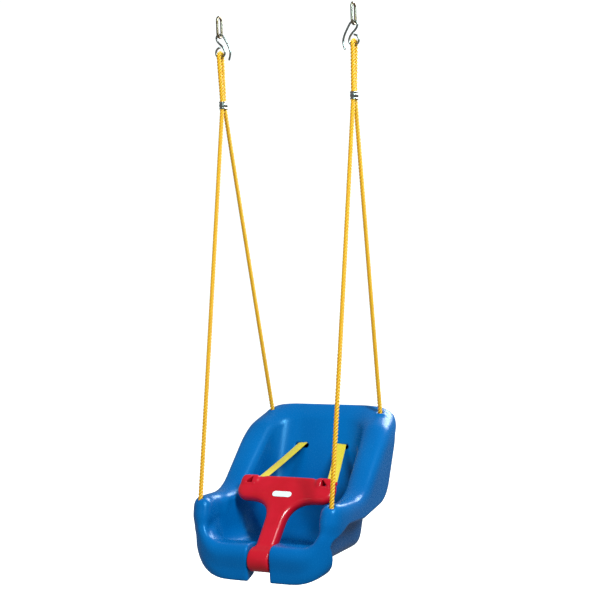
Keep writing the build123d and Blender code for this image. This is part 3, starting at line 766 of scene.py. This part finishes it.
# %% [markdown]
# ## Straps
# Each strap is 25 mm webbing. It comes out of its slot, runs straight to the cross bar, and bows very
# slightly under its own weight. It is a real ribbon with rolled selvedges, not a texture on a strip.

# %% Straps
STRAP_HALF = 12.5
STRAP_THICK = 1.6
STRAP_TUCK = 12.0
tip_offset = Vector((96, barrel.y + BAR_TOP * math.sin(BAR_LEAN) + 15 * math.cos(BAR_LEAN) + 18,
                     barrel.z + BAR_TOP * math.cos(BAR_LEAN) - 15 * math.sin(BAR_LEAN) + 2))
for name, side in SIDES.items():
    root = strap_roots[name]
    tip = Vector((side * tip_offset.x, tip_offset.y, tip_offset.z))
    run = (tip - root).normalized()
    flat = Vector((run.y, -run.x, 0)).normalized()
    if flat.x < 0:
        flat = -flat
    up = run.cross(flat)
    if up.z < 0:
        up = -up
    length = (tip - root).length + STRAP_TUCK + 9
    points, faces, flat_map = [], [], []
    COUNT, WIDE = 40, 10
    for i in range(COUNT + 1):
        share = i / COUNT
        along = -STRAP_TUCK + share * length
        sag = -1.5 * math.sin(math.pi * share)
        for j in range(WIDE + 1):
            across = (2 * j / WIDE - 1) * STRAP_HALF
            edge = 1 - 0.35 * (abs(across) / STRAP_HALF) ** 6
            for face in (1, -1):
                points.append(root + run * along + flat * across + up * (sag + face * edge * STRAP_THICK / 2))
                flat_map.append((across * MM, along * MM))
    row = 2 * (WIDE + 1)
    for i in range(COUNT):
        for j in range(WIDE):
            a, b = i * row + 2 * j, i * row + 2 * j + 2
            faces += [(a, b, b + row, a + row), (a + 1, a + row + 1, b + row + 1, b + 1)]
        a, b = i * row, i * row + 2 * WIDE
        faces += [(a, a + row, a + row + 1, a + 1), (b, b + 1, b + row + 1, b + row)]
    for i, flip in ((0, 1), (COUNT, -1)):
        for j in range(WIDE):
            a, b = i * row + 2 * j, i * row + 2 * j + 2
            faces.append((a, a + 1, b + 1, b)[::flip])
    strap = new_mesh(f"strap_{name}_webbing", [tuple(p) for p in points], faces)
    layer = strap.data.uv_layers.new(name="strap")
    for loop in strap.data.loops:
        layer.data[loop.index].uv = flat_map[loop.vertex_index]
    give(strap, "webbing", f"strap_{name}", f"strap_{name}")
    print(f"strap {name}", round(length), "mm long")

# %% [markdown]
# ## Stage, light and camera
# A pale floor that curves up into a wall, a tall strip light at the upper right for the long reflections
# along the rim, a fill in front and a light behind, as in a product studio. The fill and the floor are
# hidden from reflections, so that only the strip and the light behind draw highlights. The camera stands
# level with the ropes, a little to the right of the seat.

# %% Stage
def sweep_floor():
    """A floor that curves up into a wall, in one sheet."""
    level, depth, radius = -1650.0, 2600.0, 1500.0
    profile = [(-6000, level), (depth, level)]
    profile += [(depth + radius * math.sin(a), level + radius * (1 - math.cos(a)))
                for a in np.linspace(0.1, math.pi / 2, 12)]
    profile.append((depth + radius, 6000))
    points = [(x, y, z) for x in (-7000, 7000) for y, z in profile]
    n = len(profile)
    faces = [(i, i + n, i + n + 1, i + 1) for i in range(n - 1)]
    return new_mesh("studio_floor", points, faces)


floor = sweep_floor()
paper, tree, shader, where = new_material("studio_paper")
fibre = add_node(tree, "ShaderNodeTexNoise", [(where, "Vector")], {"Scale": 1 / 0.4, "Detail": 2.0})
white = ramp(tree, fibre.outputs["Fac"], [(0.3, "#f3f4f5"), (0.7, "#f8f9fa")])
tree.links.new(white, shader.inputs["Base Color"])
shader.inputs["Roughness"].default_value = 0.9
shader.inputs["Emission Color"].default_value = (1, 1, 1, 1)
shader.inputs["Emission Strength"].default_value = 0.7
floor.data.materials.append(paper)
floor.visible_glossy = False
floor.visible_diffuse = False


def soft_light(name, place, target, size, watts, tint, mirrored=True):
    data = bpy.data.lights.new(name, "AREA")
    data.shape = "RECTANGLE"
    data.size, data.size_y = size
    data.energy = watts
    data.color = linear(tint)[:3]
    light = bpy.data.objects.new(name, data)
    light.location = place
    light.rotation_euler = (Vector(target) - Vector(place)).to_track_quat("-Z", "Y").to_euler()
    light.visible_glossy = mirrored
    bpy.context.scene.collection.objects.link(light)


CENTRE = (0, 0, -1.1)
soft_light("window", (2.3, -1.6, 1.5), CENTRE, (0.4, 2.0), 165, "#dcffff")
soft_light("fill", (-0.6, -3.4, 0.3), CENTRE, (1.2, 1.2), 50, "#f2ffff", False)
soft_light("back", (0.6, 2.4, 0.9), CENTRE, (1.5, 1.0), 70, "#ffffff")
world = bpy.data.worlds.new("studio")
bpy.context.scene.world = world
world.use_nodes = True
world.node_tree.nodes["Background"].inputs["Color"].default_value = (1, 1, 1, 1)
world.node_tree.nodes["Background"].inputs["Strength"].default_value = 0.22
bpy.context.scene.view_settings.view_transform = "Standard"

# %% Camera
YAW, PITCH, ROLL = math.radians(26.07), math.radians(-2.48), math.radians(-1.77)
CAMERA_PLACE = Vector((1.4945, -3.0454, -0.4921 + HOOK_Z * MM))
forward = Vector((-math.sin(YAW) * math.cos(PITCH), math.cos(YAW) * math.cos(PITCH), math.sin(PITCH)))
right = Vector((math.cos(YAW), math.sin(YAW), 0))
above = right.cross(forward)
rolled_right = math.cos(ROLL) * right + math.sin(ROLL) * above
rolled_up = -math.sin(ROLL) * right + math.cos(ROLL) * above
camera = bpy.data.objects.new("camera", bpy.data.cameras.new("camera"))
camera.data.sensor_width = 36
camera.data.lens = 1400 / 590 * 36
camera.matrix_world = Matrix((rolled_right, rolled_up, -forward)).transposed().to_4x4()
camera.location = CAMERA_PLACE
bpy.context.scene.collection.objects.link(camera)
bpy.context.scene.camera = camera

# %% [markdown]

# %% Update the scene
bpy.context.view_layer.update()
